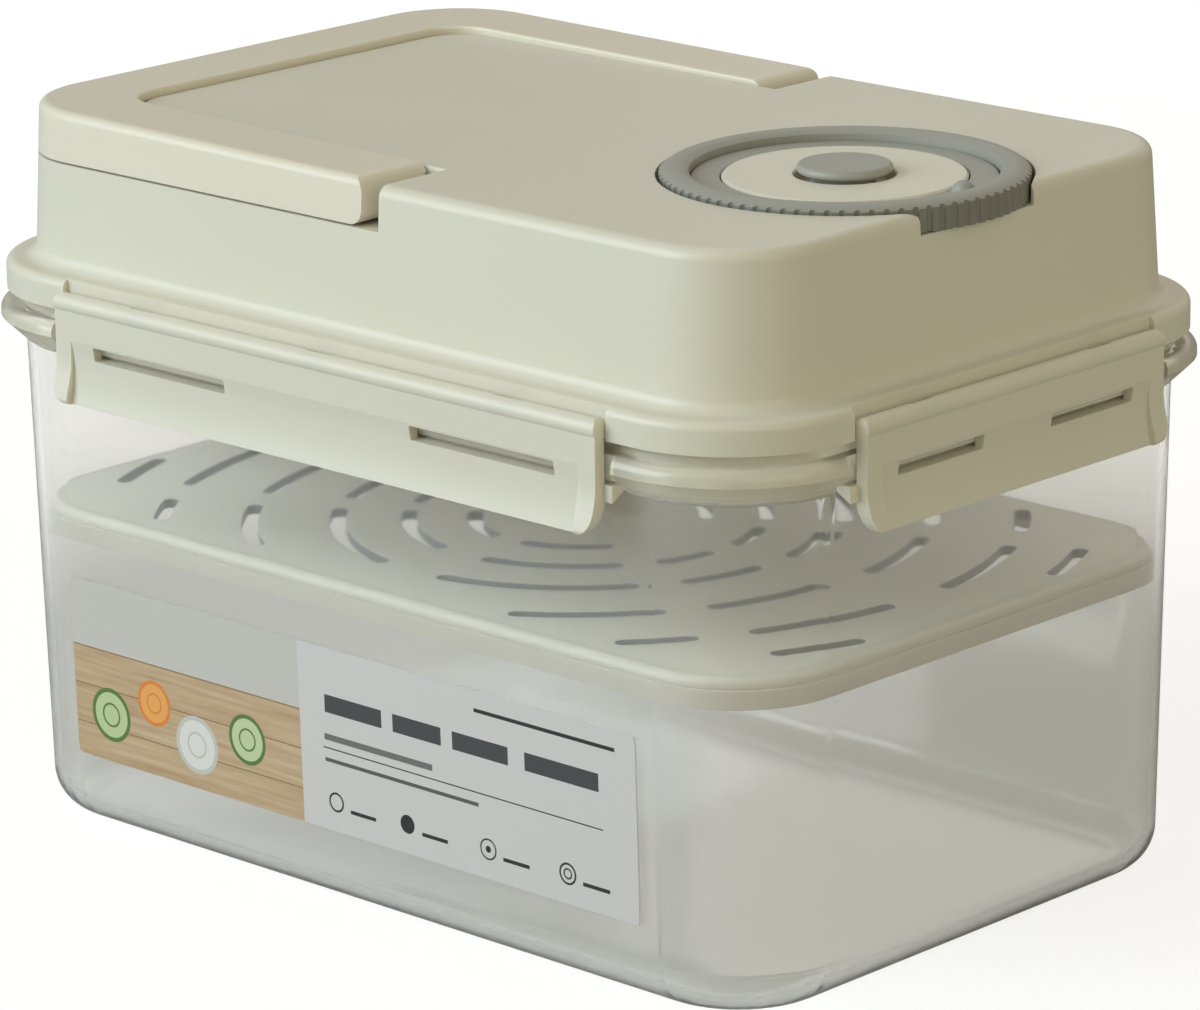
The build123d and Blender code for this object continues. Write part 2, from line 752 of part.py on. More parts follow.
disc_z = hood_top - disc_top
disc_plate = 1.8
dish_radius = button_radius + dish_gap
dish_z = hood_top + button_top - button_cap - button_travel - 0.4
skirt_radius = 6.7
with BuildPart() as dial_disc:
    with BuildSketch(Plane.XZ):
        with BuildLine():
            Polyline(
                (skirt_radius + 0.3, dish_z),
                (dish_radius, dish_z),
                (dish_radius, disc_z - 0.4),
                (dish_radius + 0.4, disc_z),
                (disc_radius - 0.5, disc_z),
                (disc_radius, disc_z - 0.5),
                (disc_radius, well_z),
                (disc_radius - 1.8, well_z),
                (disc_radius - 1.8, disc_z - disc_plate),
                (dish_radius + 1.8, disc_z - disc_plate),
                (dish_radius + 1.8, dish_z - disc_plate + 0.2),
                (skirt_radius + 0.3, dish_z - disc_plate + 0.2),
                (skirt_radius + 0.3, dish_z),
            )
        make_face()
    revolve(axis=Axis.Z)
dial_disc.part = dial_disc.part.moved(Location((ring_x, 0, 0)))
dial_disc.part.label = "dial_disc"

# Vent: button over a spring, stem through the floor, soft seal held by a clip

button_z = hood_top + button_top
cap_under = button_z - button_cap
skirt_low = vent_floor + button_travel + 0.5
with BuildPart() as vent_button:
    with BuildSketch(Plane.XZ):
        with BuildLine():
            Polyline(
                (button_radius - 0.9, button_z),
                (0, button_z),
                (0, cap_under),
                (stem_radius, cap_under),
                (stem_radius, cap_under - 2.4),
                (stem_radius + 1.2, cap_under - 2.4),
                (stem_radius + 1.2, cap_under),
                (skirt_radius - 1.2, cap_under),
                (skirt_radius - 1.2, skirt_low),
                (skirt_radius, skirt_low),
                (skirt_radius, cap_under),
                (button_radius - 0.9, cap_under),
            )
            ThreePointArc(
                (button_radius - 0.9, cap_under),
                (button_radius, cap_under + button_cap * 0.5),
                (button_radius - 0.9, button_z),
            )
        make_face()
    revolve(axis=Axis.Z)
vent_button.part = vent_button.part.moved(Location((ring_x, 0, 0)))
vent_button.part.label = "vent_button"

seal_top = vent_floor - hood_wall - 0.3
clip_thickness = 1.2
stem_low = seal_top - seal_thickness - clip_thickness - 0.8
with BuildPart() as vent_stem:
    with BuildSketch(Plane.XY.offset(stem_low)):
        with Locations((ring_x, 0)):
            Circle(stem_radius)
    extrude(amount=cap_under - stem_low)
    chamfer(vent_stem.faces().sort_by(Axis.Z)[0].edges(), 0.5)
vent_stem.part.label = "vent_stem"

with BuildPart() as vent_seal:
    with BuildSketch(Plane.XZ):
        with BuildLine():
            Polyline(
                (stem_radius, seal_top - seal_thickness),
                (seal_radius - 1.5, seal_top - seal_thickness),
                (seal_radius, seal_top - 0.6),
                (seal_radius, seal_top),
                (stem_radius, seal_top),
                (stem_radius, seal_top - seal_thickness),
            )
        make_face()
    revolve(axis=Axis.Z)
vent_seal.part = vent_seal.part.moved(Location((ring_x, 0, 0)))
vent_seal.part.label = "vent_seal"

with BuildPart() as vent_clip:
    with BuildSketch(Plane.XY.offset(seal_top - seal_thickness - clip_thickness)):
        with Locations((ring_x, 0)):
            Circle(stem_radius + 3)
            Circle(stem_radius, mode=Mode.SUBTRACT)
    extrude(amount=clip_thickness)
vent_clip.part.label = "vent_clip"

with BuildPart() as vent_spring:
    spring_low = vent_floor + spring_wire + 0.02
    spring_rise = cap_under - vent_floor - 2 * spring_wire - 0.04
    with BuildLine() as coil:
        Helix(spring_rise / spring_turns, spring_rise, spring_radius)
    with BuildSketch(coil.line ^ 0):
        RegularPolygon(spring_wire, 6)
    sweep(path=coil.line, is_frenet=True)
vent_spring.part = vent_spring.part.moved(Location((ring_x, 0, spring_low)))
vent_spring.part.label = "vent_spring"

for piece in (
    tub, label, press_plate, lid_hood, lid_gasket, latch_front, latch_back, latch_right, latch_left,
    carry_handle, date_ring, index_ring, dial_disc, vent_button, vent_stem, vent_seal, vent_clip,
    vent_spring,
):
    export_step(piece.part, f"parts/{piece.part.label}.step")
    box = piece.part.bounding_box()
    print(piece.part.label, [round(v, 2) for v in (*box.min, *box.max)], len(piece.part.solids()))
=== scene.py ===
# %% [markdown]
# # A pickle container in clear, frosted and cream plastic
#
# The container arrives as a finished model: a clear tub, a slotted press plate, a deep
# lid with four snap latches, a folding handle and a date dial with a vent button. Every
# piece already rides on the body that moves it. This lesson gives each piece its finish,
# makes two small pieces of the dial again, and then sets the floor, the room and the
# light. Loading comes first, because everything else is placed around the loaded pieces.

# %% Load the container
import math

import bpy
from mathutils import Matrix, Vector


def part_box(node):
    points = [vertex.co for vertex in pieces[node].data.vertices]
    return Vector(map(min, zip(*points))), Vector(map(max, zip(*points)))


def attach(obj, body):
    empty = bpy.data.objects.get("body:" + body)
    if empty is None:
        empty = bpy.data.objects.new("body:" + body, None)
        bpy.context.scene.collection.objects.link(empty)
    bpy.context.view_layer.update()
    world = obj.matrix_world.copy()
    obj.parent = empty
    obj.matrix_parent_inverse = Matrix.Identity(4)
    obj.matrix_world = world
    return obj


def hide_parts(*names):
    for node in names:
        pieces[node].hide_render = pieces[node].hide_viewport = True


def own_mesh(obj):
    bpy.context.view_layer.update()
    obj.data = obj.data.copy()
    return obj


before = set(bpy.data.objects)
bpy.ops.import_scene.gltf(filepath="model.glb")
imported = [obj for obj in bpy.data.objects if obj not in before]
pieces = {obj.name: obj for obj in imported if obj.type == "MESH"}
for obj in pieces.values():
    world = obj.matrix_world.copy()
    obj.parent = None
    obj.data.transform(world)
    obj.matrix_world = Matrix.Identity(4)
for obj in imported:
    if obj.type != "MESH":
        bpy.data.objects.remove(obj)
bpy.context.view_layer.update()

# %% [markdown]
# ## The camera
#
# The picture was taken a little above the lid, from the corner between the labelled
# front and the dial end. A long lens from over a metre away keeps the edges nearly
# parallel. The three directions of the camera are worked out from its turn around the
# object, its tilt and a small roll, because that is easier to follow than a rotation
# typed in as numbers. The lens was measured in pixels of a picture 1200 pixels wide.

# %% Place the camera
picture_wide = 1200
lens_in_pixels = 5959.5
turn, tilt, roll = (math.radians(angle) for angle in (43.70, 16.17, -0.84))
stand_at = Vector((0.90827, -0.94738, 0.45913))
back = Vector((math.sin(turn) * math.cos(tilt), -math.cos(turn) * math.cos(tilt), math.sin(tilt)))
level = Vector((math.cos(turn), math.sin(turn), 0))
upward = back.cross(level)
right = math.cos(roll) * level + math.sin(roll) * upward
up = math.cos(roll) * upward - math.sin(roll) * level

lens = bpy.data.cameras.new("long_lens")
lens.sensor_width = 36
lens.lens = lens_in_pixels / picture_wide * lens.sensor_width
camera = bpy.data.objects.new("camera", lens)
look = Matrix((right, up, back)).transposed().to_4x4()
camera.matrix_world = Matrix.Translation(stand_at) @ look
bpy.context.collection.objects.link(camera)
bpy.context.scene.camera = camera
print("lens", round(lens.lens, 1), "mm at", round(stand_at.length, 2), "m")

# %% [markdown]
# ## Small helpers for finishes
#
# A finish in Blender is a graph of nodes. These helpers keep the later cells readable:
# one starts a material and hands back its graph, one adds a node with its settings, and
# one joins two sockets. Two more cover what nearly every finish needs, a value that runs
# between two levels and a colour that runs between two others.

# %% Helpers for node graphs
def new_finish(name):
    """A new material with its graph emptied down to the output."""
    material = bpy.data.materials.new(name)
    material.use_nodes = True
    graph = material.node_tree
    for node in list(graph.nodes):
        if node.type != "OUTPUT_MATERIAL":
            graph.nodes.remove(node)
    return material, graph


def add(graph, kind, **settings):
    """Adds a node. A setting with the name of a socket is put on that socket."""
    node = graph.nodes.new("ShaderNode" + kind)
    for key, value in settings.items():
        socket = node.inputs.get(key.replace("_", " "))
        if socket is not None:
            socket.default_value = value
        else:
            setattr(node, key, value)
    return node


def join(graph, start, end):
    """Leads one socket to another."""
    graph.links.new(start, end)


def output(graph):
    """The node that a finish ends in."""
    return next(node for node in graph.nodes if node.type == "OUTPUT_MATERIAL")


def ramp(graph, value, start, end, low, high):
    """A level that goes from low to high as value goes from start to end."""
    slope = add(graph, "MapRange", From_Min=start, From_Max=end, To_Min=low, To_Max=high)
    join(graph, value, slope.inputs["Value"])
    return slope.outputs["Result"]


def mixed(graph, share, first, second):
    """A colour that goes from first to second as share goes from nought to one."""
    mix = add(graph, "Mix", data_type="RGBA")
    join(graph, share, mix.inputs["Factor"])
    for socket, colour in ((mix.inputs["A"], first), (mix.inputs["B"], second)):
        if isinstance(colour, tuple):
            socket.default_value = (*colour, 1)
        else:
            join(graph, colour, socket)
    return mix.outputs["Result"]


# %% [markdown]
# ## Moulded texture
#
# Injection moulded plastic is never a perfect mirror. The steel mould leaves a very fine
# grain, the plastic shrinks a little as it cools, and so the gloss drifts across a wide
# panel. Both are made here with noise in the object's own coordinates: a coarse noise
# moves the roughness, and a fine one drives a bump of a few hundredths of a millimetre.

# %% Grain shared by the moulded plastics
smooth_grain = 0.00003
touch_grain = 0.00004


def moulded_grain(graph, shader, roughness, spread, grain_size, grain_depth):
    """Drifts the gloss by spread around roughness, and adds a fine grain."""
    place = add(graph, "TexCoord")
    drift = add(graph, "TexNoise", Scale=18.0, Detail=2.0)
    join(graph, place.outputs["Object"], drift.inputs["Vector"])
    gloss = ramp(graph, drift.outputs["Fac"], 0.0, 1.0, roughness - spread, roughness + spread)
    join(graph, gloss, shader.inputs["Roughness"])

    grain = add(graph, "TexNoise", Scale=1.0 / grain_size, Detail=1.0)
    join(graph, place.outputs["Object"], grain.inputs["Vector"])
    bump = add(graph, "Bump", Strength=0.35, Distance=grain_depth)
    join(graph, grain.outputs["Fac"], bump.inputs["Height"])
    join(graph, bump.outputs["Normal"], shader.inputs["Normal"])
    return place, drift


# %% [markdown]
# ## Cream plastic for the lid, latches, handle and disc
#
# These pieces are moulded from cream polypropylene, in batches that never match quite:
# the handle is a touch warmer than the shell and the disc of the dial a touch lighter. The
# plastic is satin rather than glossy, and light sinks into it slightly, which softens the
# edges. A weak subsurface does that. The colour drifts by a percent or two between cream
# and a warmer cream, so a wide panel doesn't look painted.

# %% Cream plastic
def coloured_plastic(name, cooler, warmer, roughness, grain_depth):
    """Opaque moulded plastic whose colour drifts between two close tones."""
    finish, graph = new_finish(name)
    shader = add(graph, "BsdfPrincipled", IOR=1.49)
    place, drift = moulded_grain(graph, shader, roughness, 0.05, 0.0004, grain_depth)
    tone = add(graph, "ValToRGB")
    tone.color_ramp.elements[0].color = (*cooler, 1)
    tone.color_ramp.elements[1].color = (*warmer, 1)
    join(graph, drift.outputs["Fac"], tone.inputs["Fac"])
    join(graph, tone.outputs["Color"], shader.inputs["Base Color"])
    join(graph, shader.outputs["BSDF"], output(graph).inputs["Surface"])
    return finish, shader


cream, cream_shader = coloured_plastic(
    "cream_plastic", (0.735, 0.700, 0.585), (0.765, 0.735, 0.625), 0.36, smooth_grain
)
handle_cream, handle_shader = coloured_plastic(
    "handle_cream", (0.795, 0.735, 0.605), (0.822, 0.768, 0.643), 0.36, smooth_grain
)
disc_cream, disc_shader = coloured_plastic(
    "disc_cream", (0.800, 0.762, 0.640), (0.825, 0.790, 0.675), 0.40, smooth_grain
)
for shader in (cream_shader, handle_shader, disc_shader):
    shader.inputs["Subsurface Weight"].default_value = 0.25
    shader.inputs["Subsurface Radius"].default_value = (1.0, 0.8, 0.45)
    shader.inputs["Subsurface Scale"].default_value = 0.0025
print("cream for the shell and latches, a warmer one for the handle, a lighter one for the disc")

# %% [markdown]
# ## Grey plastic for the dial and the button
#
# The turning ring, the pointer band and the button are a mid grey with a slightly rougher
# touch surface. The ring has a finish of its own, because its ribbed side gets painted shade
# further on.

# %% Grey plastic
ring_tones = ((0.360, 0.358, 0.318), (0.390, 0.386, 0.345))
button_tones = ((0.375, 0.372, 0.330), (0.405, 0.400, 0.355))
grey, grey_shader = coloured_plastic("grey_plastic", *ring_tones, 0.44, touch_grain)
ring_grey, ring_shader = coloured_plastic("ring_grey", *ring_tones, 0.44, touch_grain)
button_grey, button_shader = coloured_plastic("button_grey", *button_tones, 0.42, touch_grain)
print("grey for the ring and the band, a lighter grey for the button")

# %% [markdown]
# ## Clear plastic for the tub
#
# The tub is modelled with its real two millimetre wall, so the light bends twice on its
# way through, as it does in the real one. Clear polypropylene is never as clear as glass,
# so a small share of it scatters and gives a faint veil. The rim is thicker than the wall
# and looks milky, so above the foot of its bead the clear share drops. There the tint also
# turns a warm cream, a painted stand-in for the cream lid that shows through the rim. One
# trick helps: a lamp's shadow rays can't find their way through bent glass, so for those
# rays alone the tub turns into a tinted film, and the plate and the floor inside get their
# light.

# %% Clear plastic
rim_starts = 0.1150
rim_full = 0.1175
clear, graph = new_finish("clear_plastic")
clear_shader = add(graph, "BsdfPrincipled", IOR=1.46)
place, drift = moulded_grain(graph, clear_shader, 0.055, 0.02, 0.012, touch_grain)
height_of = add(graph, "SeparateXYZ")
join(graph, place.outputs["Object"], height_of.inputs[0])
milky = ramp(graph, height_of.outputs["Z"], rim_starts, rim_full, 0.0, 1.0)
clear_share = ramp(graph, milky, 0.0, 1.0, 0.94, 0.52)
join(graph, clear_share, clear_shader.inputs["Transmission Weight"])
# the milky share is the plastic's own; the warm cream on the rim is painted, for the lid seen through it
tub_tint = mixed(graph, milky, (0.945, 0.940, 0.920), (0.830, 0.795, 0.680))
join(graph, tub_tint, clear_shader.inputs["Base Color"])

film = add(graph, "BsdfTransparent", Color=(0.97, 0.97, 0.955, 1))
path = add(graph, "LightPath")
through = add(graph, "MixShader")
join(graph, path.outputs["Is Shadow Ray"], through.inputs[0])
join(graph, clear_shader.outputs["BSDF"], through.inputs[1])
join(graph, film.outputs["BSDF"], through.inputs[2])
join(graph, through.outputs["Shader"], output(graph).inputs["Surface"])
print("clear plastic, milky above", round(1000 * rim_starts, 1), "mm")

# %% [markdown]
# ## Frosted plastic for the press plate
#
# The press plate is milky: light passes, but no shape can be seen through it. Part of the
# shader scatters light under the surface and part lets it through a rough interface. Its
# colour carries painted shade: its upright faces are painted darker than its top, a band
# along its rim a shade darker, and the walls of its slots darkest. Two masks pick these
# out, one from the way a face points and one from its place inside a rectangle with
# rounded corners.

# %% Frosted plastic
def upright_share(graph, place):
    """One on faces that stand upright, nought on flat ones."""
    facing = add(graph, "SeparateXYZ")
    join(graph, place.outputs["Normal"], facing.inputs[0])
    lean = add(graph, "Math", operation="ABSOLUTE")
    join(graph, facing.outputs["Z"], lean.inputs[0])
    return ramp(graph, lean.outputs[0], 0.35, 0.90, 1.0, 0.0)


def carried_on(graph, spot, steps):
    """Takes a place through a row of vector steps and gives back what comes out."""
    for operation, values in steps:
        step = add(graph, "VectorMath", operation=operation)
        join(graph, spot, step.inputs[0])
        if values:
            step.inputs[1].default_value = values
        spot = step.outputs["Value" if operation == "LENGTH" else "Vector"]
    return spot


def inside_of(graph, place, half_long, half_wide, corner, fade):
    """One inside a rectangle with rounded corners around the middle, fading out beyond it."""
    steps = (
        ("ABSOLUTE", None),
        ("MULTIPLY", (1, 1, 0)),
        ("SUBTRACT", (half_long - corner, half_wide - corner, 0)),
        ("MAXIMUM", (0, 0, 0)),
        ("LENGTH", None),
    )
    reach = carried_on(graph, place.outputs["Object"], steps)
    return ramp(graph, reach, corner, corner + fade, 1.0, 0.0)


frosted, graph = new_finish("frosted_plastic")
frosted_shader = add(graph, "BsdfPrincipled", IOR=1.46)
frosted_shader.inputs["Transmission Weight"].default_value = 0.30
frosted_shader.inputs["Subsurface Weight"].default_value = 0.4
frosted_shader.inputs["Subsurface Radius"].default_value = (1.0, 0.95, 0.85)
frosted_shader.inputs["Subsurface Scale"].default_value = 0.003
place, drift = moulded_grain(graph, frosted_shader, 0.42, 0.05, 0.0006, smooth_grain)

plate_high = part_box("press_plate")[1]
plate_rim = 0.005
rim_fade = 0.003
field_corner = 0.019
field_half = (plate_high[0] - plate_rim, plate_high[1] - plate_rim)
upright = upright_share(graph, place)
field = inside_of(graph, place, *field_half, field_corner, rim_fade)
# the walls of the slots, upright faces inside the field, get the darkest painted shade
slot_wall = add(graph, "Math", operation="MULTIPLY")
join(graph, upright, slot_wall.inputs[0])
join(graph, field, slot_wall.inputs[1])
# painted shade: the rim band, the upright faces and most of all the slot walls are darkened here
plate_colour = mixed(graph, field, (0.76, 0.72, 0.63), (0.92, 0.88, 0.775))
plate_colour = mixed(graph, upright, plate_colour, (0.54, 0.495, 0.42))
plate_colour = mixed(graph, slot_wall.outputs[0], plate_colour, (0.22, 0.215, 0.205))
join(graph, plate_colour, frosted_shader.inputs["Base Color"])
join(graph, frosted_shader.outputs["BSDF"], output(graph).inputs["Surface"])
print("frosted plastic, rim", round(1000 * plate_rim, 1), "mm wide")

# %% [markdown]
# ## Painted shade on the grip of the date ring
#
# The ring is turned by its ribbed side, which gets painted shade in its colour so that it
# reads darker than its top. The share of upright faces, which served for the plate, picks it
# out here too, and the distance from the axis leaves the bore as it is.

# %% Painted shade on the side of the date ring
graph = ring_grey.node_tree
place = add(graph, "TexCoord")
ring_low, ring_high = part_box("date_ring")
ring_radius = (ring_high[0] - ring_low[0]) / 2
ring_middle = ((ring_low[0] + ring_high[0]) / 2, (ring_low[1] + ring_high[1]) / 2, 0)
grip_starts = ring_radius - 0.004
grip_full = ring_radius - 0.003
from_axis = (("SUBTRACT", ring_middle), ("MULTIPLY", (1, 1, 0)), ("LENGTH", None))
away = carried_on(graph, place.outputs["Object"], from_axis)
far_out = ramp(graph, away, grip_starts, grip_full, 0.0, 1.0)
grip = add(graph, "Math", operation="MULTIPLY")
join(graph, upright_share(graph, place), grip.inputs[0])
join(graph, far_out, grip.inputs[1])
# painted shade: the ribbed side is darkened in its colour, not by the light
ring_top_tone = ring_shader.inputs["Base Color"].links[0].from_socket
ring_tone = mixed(graph, grip.outputs[0], ring_top_tone, (0.235, 0.232, 0.200))
join(graph, ring_tone, ring_shader.inputs["Base Color"])
print("darker grey on the ribbed side")

# %% [markdown]
# ## Silicone, white plastic and spring steel
#
# Three small finishes are seen only when the lid is lifted or the button is looked at
# from below. The gasket and the vent seal are soft silicone with a dull sheen, the stem
# and its clip are plain white plastic, and the spring is drawn steel wire. They differ in
# a handful of values, so one function makes all three.

# %% Small finishes
def plain_finish(name, colour, roughness, spread, grain_size, grain_depth, **settings):
    """A finish of one colour with a moulded or drawn grain."""
    finish, graph = new_finish(name)
    shader = add(graph, "BsdfPrincipled", **settings)
    shader.inputs["Base Color"].default_value = (*colour, 1)
    moulded_grain(graph, shader, roughness, spread, grain_size, grain_depth)
    join(graph, shader.outputs["BSDF"], output(graph).inputs["Surface"])
    return finish


silicone = plain_finish(
    "silicone", (0.72, 0.73, 0.72), 0.5, 0.05, 0.0005, smooth_grain, IOR=1.41, Transmission_Weight=0.2
)
white = plain_finish("white_plastic", (0.78, 0.78, 0.76), 0.4, 0.05, 0.0004, smooth_grain, IOR=1.49)
steel = plain_finish("spring_steel", (0.56, 0.56, 0.55), 0.28, 0.06, 0.0003, 0.00002, Metallic=1.0)
print("silicone, white plastic and spring steel")

# %% [markdown]
# ## The printed label
#
# The label is a coated paper sticker with a picture panel on its left and a pale panel
# with lines of print on its right. Both are plain designs of my own: a kitchen board with
# round slices, and bars and simple marks. All of it is drawn by the material. Each shape
# is a mask, a number that is one inside the shape and nought outside, made from the place
# on the label in millimetres.

# %% Masks for flat print
label_finish, label_graph = new_finish("label_paper")
where = add(label_graph, "TexCoord")
to_mm = add(label_graph, "VectorMath", operation="SCALE")
to_mm.inputs["Scale"].default_value = 1000.0
join(label_graph, where.outputs["Object"], to_mm.inputs[0])
split = add(label_graph, "SeparateXYZ")
join(label_graph, to_mm.outputs["Vector"], split.inputs[0])
along, height = split.outputs["X"], split.outputs["Z"]


def worked_out(kind, first, second):
    """One Math node. first and second are sockets or plain numbers."""
    node = add(label_graph, "Math", operation=kind)
    for socket, value in zip(node.inputs, (first, second)):
        if isinstance(value, (int, float)):
            socket.default_value = value
        else:
            join(label_graph, value, socket)
    return node.outputs[0]


def near(value, middle, reach):
    """One where value is within reach of middle."""
    away = worked_out("ABSOLUTE", worked_out("SUBTRACT", value, middle), 0)
    return worked_out("LESS_THAN", away, reach)


def bar(x, z, length, tall):
    """A bar of print with its middle at x, z."""
    return worked_out("MULTIPLY", near(along, x, length / 2), near(height, z, tall / 2))


def distance_from(x, z):
    """Distance in millimetres from a point on the label."""
    across = worked_out("SUBTRACT", along, x)
    above = worked_out("SUBTRACT", height, z)
    squares = [worked_out("MULTIPLY", part, part) for part in (across, above)]
    return worked_out("SQRT", worked_out("ADD", *squares), 0)


def disc(x, z, radius):
    """A filled circle."""
    return worked_out("LESS_THAN", distance_from(x, z), radius)


def hoop(x, z, radius, line):
    """A thin circle."""
    return near(distance_from(x, z), radius, line / 2)


def paint(under, mask, colour):
    """Lays a colour over what is under it, where the mask is one."""
    return mixed(label_graph, mask, under, colour)


print("label masks ready")

# %% [markdown]
# The picture panel is a pale wall over a wooden board. The board's grain is a noise
# stretched along its length, with darker lines where two planks meet. Four round slices
# lie on it: each is a disc with a rim and a lighter heart.

# %% Picture panel
wall_colour = (0.62, 0.60, 0.55)
dark_wood = (0.50, 0.335, 0.19)
light_wood = (0.66, 0.50, 0.32)
seam_colour = (0.34, 0.22, 0.12)
board_top = 45.5

stretched = add(label_graph, "VectorMath", operation="MULTIPLY")
stretched.inputs[1].default_value = (0.035, 1.0, 0.75)
join(label_graph, to_mm.outputs["Vector"], stretched.inputs[0])
wood_noise = add(label_graph, "TexNoise", Scale=1.0, Detail=4.0)
join(label_graph, stretched.outputs["Vector"], wood_noise.inputs["Vector"])
wood = add(label_graph, "ValToRGB")
for stop, position, colour in zip(wood.color_ramp.elements, (0.3, 0.7), (dark_wood, light_wood)):
    stop.position = position
    stop.color = (*colour, 1)
join(label_graph, wood_noise.outputs["Fac"], wood.inputs["Fac"])

picture = paint(wall_colour, worked_out("LESS_THAN", height, board_top), wood.outputs["Color"])
for seam in (45.3, 36.0, 26.5):
    picture = paint(picture, bar(-54, seam, 80, 0.35), seam_colour)
for x, z, radius, rim, flesh in (
    (-80, 30, 6.5, (0.12, 0.22, 0.06), (0.55, 0.66, 0.36)),
    (-65, 36, 5.5, (0.80, 0.26, 0.05), (0.90, 0.42, 0.12)),
    (-51, 29, 7.0, (0.62, 0.60, 0.54), (0.80, 0.79, 0.74)),
    (-34, 34, 6.0, (0.12, 0.22, 0.06), (0.58, 0.68, 0.40)),
):
    picture = paint(picture, disc(x, z, radius), rim)
    picture = paint(picture, disc(x, z, radius * 0.84), flesh)
    picture = paint(picture, hoop(x, z, radius * 0.42, radius * 0.08), rim)
print("picture panel ready")

# %% [markdown]
# The print panel has a heading of four heavy bars, a long thin rule, two rows of fine
# bars and four plain marks along the bottom: a ring, a dot, a ring with a dot and two
# rings. They give the panel the weight of print and say nothing. The glued side, which
# shows through the tub from behind, is left as bare paper in a lighter tone than the front:
# partly the white of the paper, partly painted light that stands in for the lit front
# shining through.

# %% Print panel
ink = (0.035, 0.035, 0.038)
heading_ink = (0.075, 0.075, 0.08)
paper = (0.70, 0.665, 0.66)
bare_paper = (0.86, 0.85, 0.83)
panel_edge = -16.2
label_colour = paint(paper, worked_out("LESS_THAN", along, panel_edge), picture)
for x, length in ((1.0, 18), (21.0, 15), (40.5, 17), (65.0, 22)):
    label_colour = paint(label_colour, bar(x, 48.5, length, 4.2), heading_ink)
for x, z, length, tall, tone in (
    (60.0, 57.0, 42, 0.9, ink),
    (8.5, 40.6, 34, 1.5, (0.18, 0.18, 0.18)),
    (34.0, 38.0, 86, 0.3, ink),
    (15.5, 35.2, 48, 0.9, (0.12, 0.12, 0.12)),
):
    label_colour = paint(label_colour, bar(x, z, length, tall), tone)

marks = (-5.5, 17.0, 42.0, 66.0)
marks_up = 25.5
for x in marks:
    label_colour = paint(label_colour, bar(x + 8.5, 24.2, 8.0, 0.9), ink)
for mask in (
    hoop(marks[0], marks_up, 2.1, 0.5),
    disc(marks[1], marks_up, 2.2),
    hoop(marks[2], marks_up, 2.3, 0.4),
    disc(marks[2], marks_up, 0.8),
    hoop(marks[3], marks_up, 2.3, 0.5),
    hoop(marks[3], marks_up, 1.1, 0.4),
):
    label_colour = paint(label_colour, mask, ink)

# the glued side: bare paper, made lighter partly as painted light shining through from the front
label_facing = add(label_graph, "SeparateXYZ")
join(label_graph, where.outputs["Normal"], label_facing.inputs[0])
glued_side = worked_out("GREATER_THAN", label_facing.outputs["Y"], 0.5)
label_colour = paint(label_colour, glued_side, bare_paper)

label_shader = add(label_graph, "BsdfPrincipled", Roughness=0.34, IOR=1.5)
join(label_graph, label_colour, label_shader.inputs["Base Color"])
join(label_graph, label_shader.outputs["BSDF"], output(label_graph).inputs["Surface"])
print("print panel ready")

# %% [markdown]
# ## Dressing the pieces
#
# Each loaded piece now gets its finish. A table of piece and finish is shorter than one
# line for each, and it shows at a glance which pieces share a material. The pointer band
# and the spring aren't in it, because the next two steps make them again.

# %% Give each piece its finish
finishes = {
    cream: ("lid_hood", "latch_front", "latch_back", "latch_right", "latch_left"),
    handle_cream: ("carry_handle",),
    disc_cream: ("dial_disc",),
    ring_grey: ("date_ring",),
    button_grey: ("vent_button",),
    clear: ("tub",),
    frosted: ("press_plate",),
    silicone: ("lid_gasket", "vent_seal"),
    white: ("vent_stem", "vent_clip"),
    label_finish: ("label",),
}
for finish, names in finishes.items():
    for name in names:
        slots = pieces[name].data.materials
        slots.clear()
        slots.append(finish)
    print(finish.name, "on", ", ".join(names))

# %% [markdown]
# ## The pointer band of the dial
#
# Between the turning ring and the cream disc lies a fixed grey band with a small domed
# pointer. On the real dial it sits just under the disc and its pointer is a soft hump,
# which a straight cut solid can't give. So it is turned again here: an outline of radius
# and height is carried round the axis, and the top is lifted where the pointer is. It
# keeps the width, the place and the foot of the loaded band.

# %% Skin over rings of points
import bmesh


def skinned(name, rings, around, sharp_from):
    """Stitches rings of points into a tube. Around leads the last ring to the first."""
    shape = bmesh.new()
    rows = [[shape.verts.new(point) for point in ring] for ring in rings]
    followers = rows[1:] + rows[:1] if around else rows[1:]
    for this, following in zip(rows, followers):
        for k in range(len(this)):
            after = (k + 1) % len(this)
            shape.faces.new((this[k], this[after], following[after], following[k]))
    if not around:
        shape.faces.new(rows[0])
        shape.faces.new(rows[-1])
    bmesh.ops.recalc_face_normals(shape, faces=shape.faces)
    mesh = bpy.data.meshes.new(name)
    shape.to_mesh(mesh)
    shape.free()
    mesh.shade_smooth()
    mesh.set_sharp_from_angle(angle=math.radians(sharp_from))
    piece = bpy.data.objects.new(name, mesh)
    bpy.context.collection.objects.link(piece)
    return piece


# %% Outline of the pointer band
band_low, band_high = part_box("index_ring")
disc_low, disc_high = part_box("dial_disc")
middle = ((disc_low[0] + disc_high[0]) / 2, (disc_low[1] + disc_high[1]) / 2)
disc_gap = 0.0003
foot_wide = 0.0017
below_disc = 0.0004
shelf_clear = 0.0018
round_off = 0.0004
rows_on_top = 16

inner_edge = (disc_high[0] - disc_low[0]) / 2 + disc_gap
outer_edge = (band_high[0] - band_low[0]) / 2
foot_edge = inner_edge + foot_wide
band_top = disc_high[2] - below_disc
band_under = ring_low[2] + shelf_clear


def rounded_corner(radius, start):
    """Four points of a quarter circle just under the band's top, from the angle start."""
    bends = [math.radians(start + 30 * k) for k in range(4)]
    return [
        (radius + round_off * math.cos(bend), band_top - round_off + round_off * math.sin(bend))
        for bend in bends
    ]


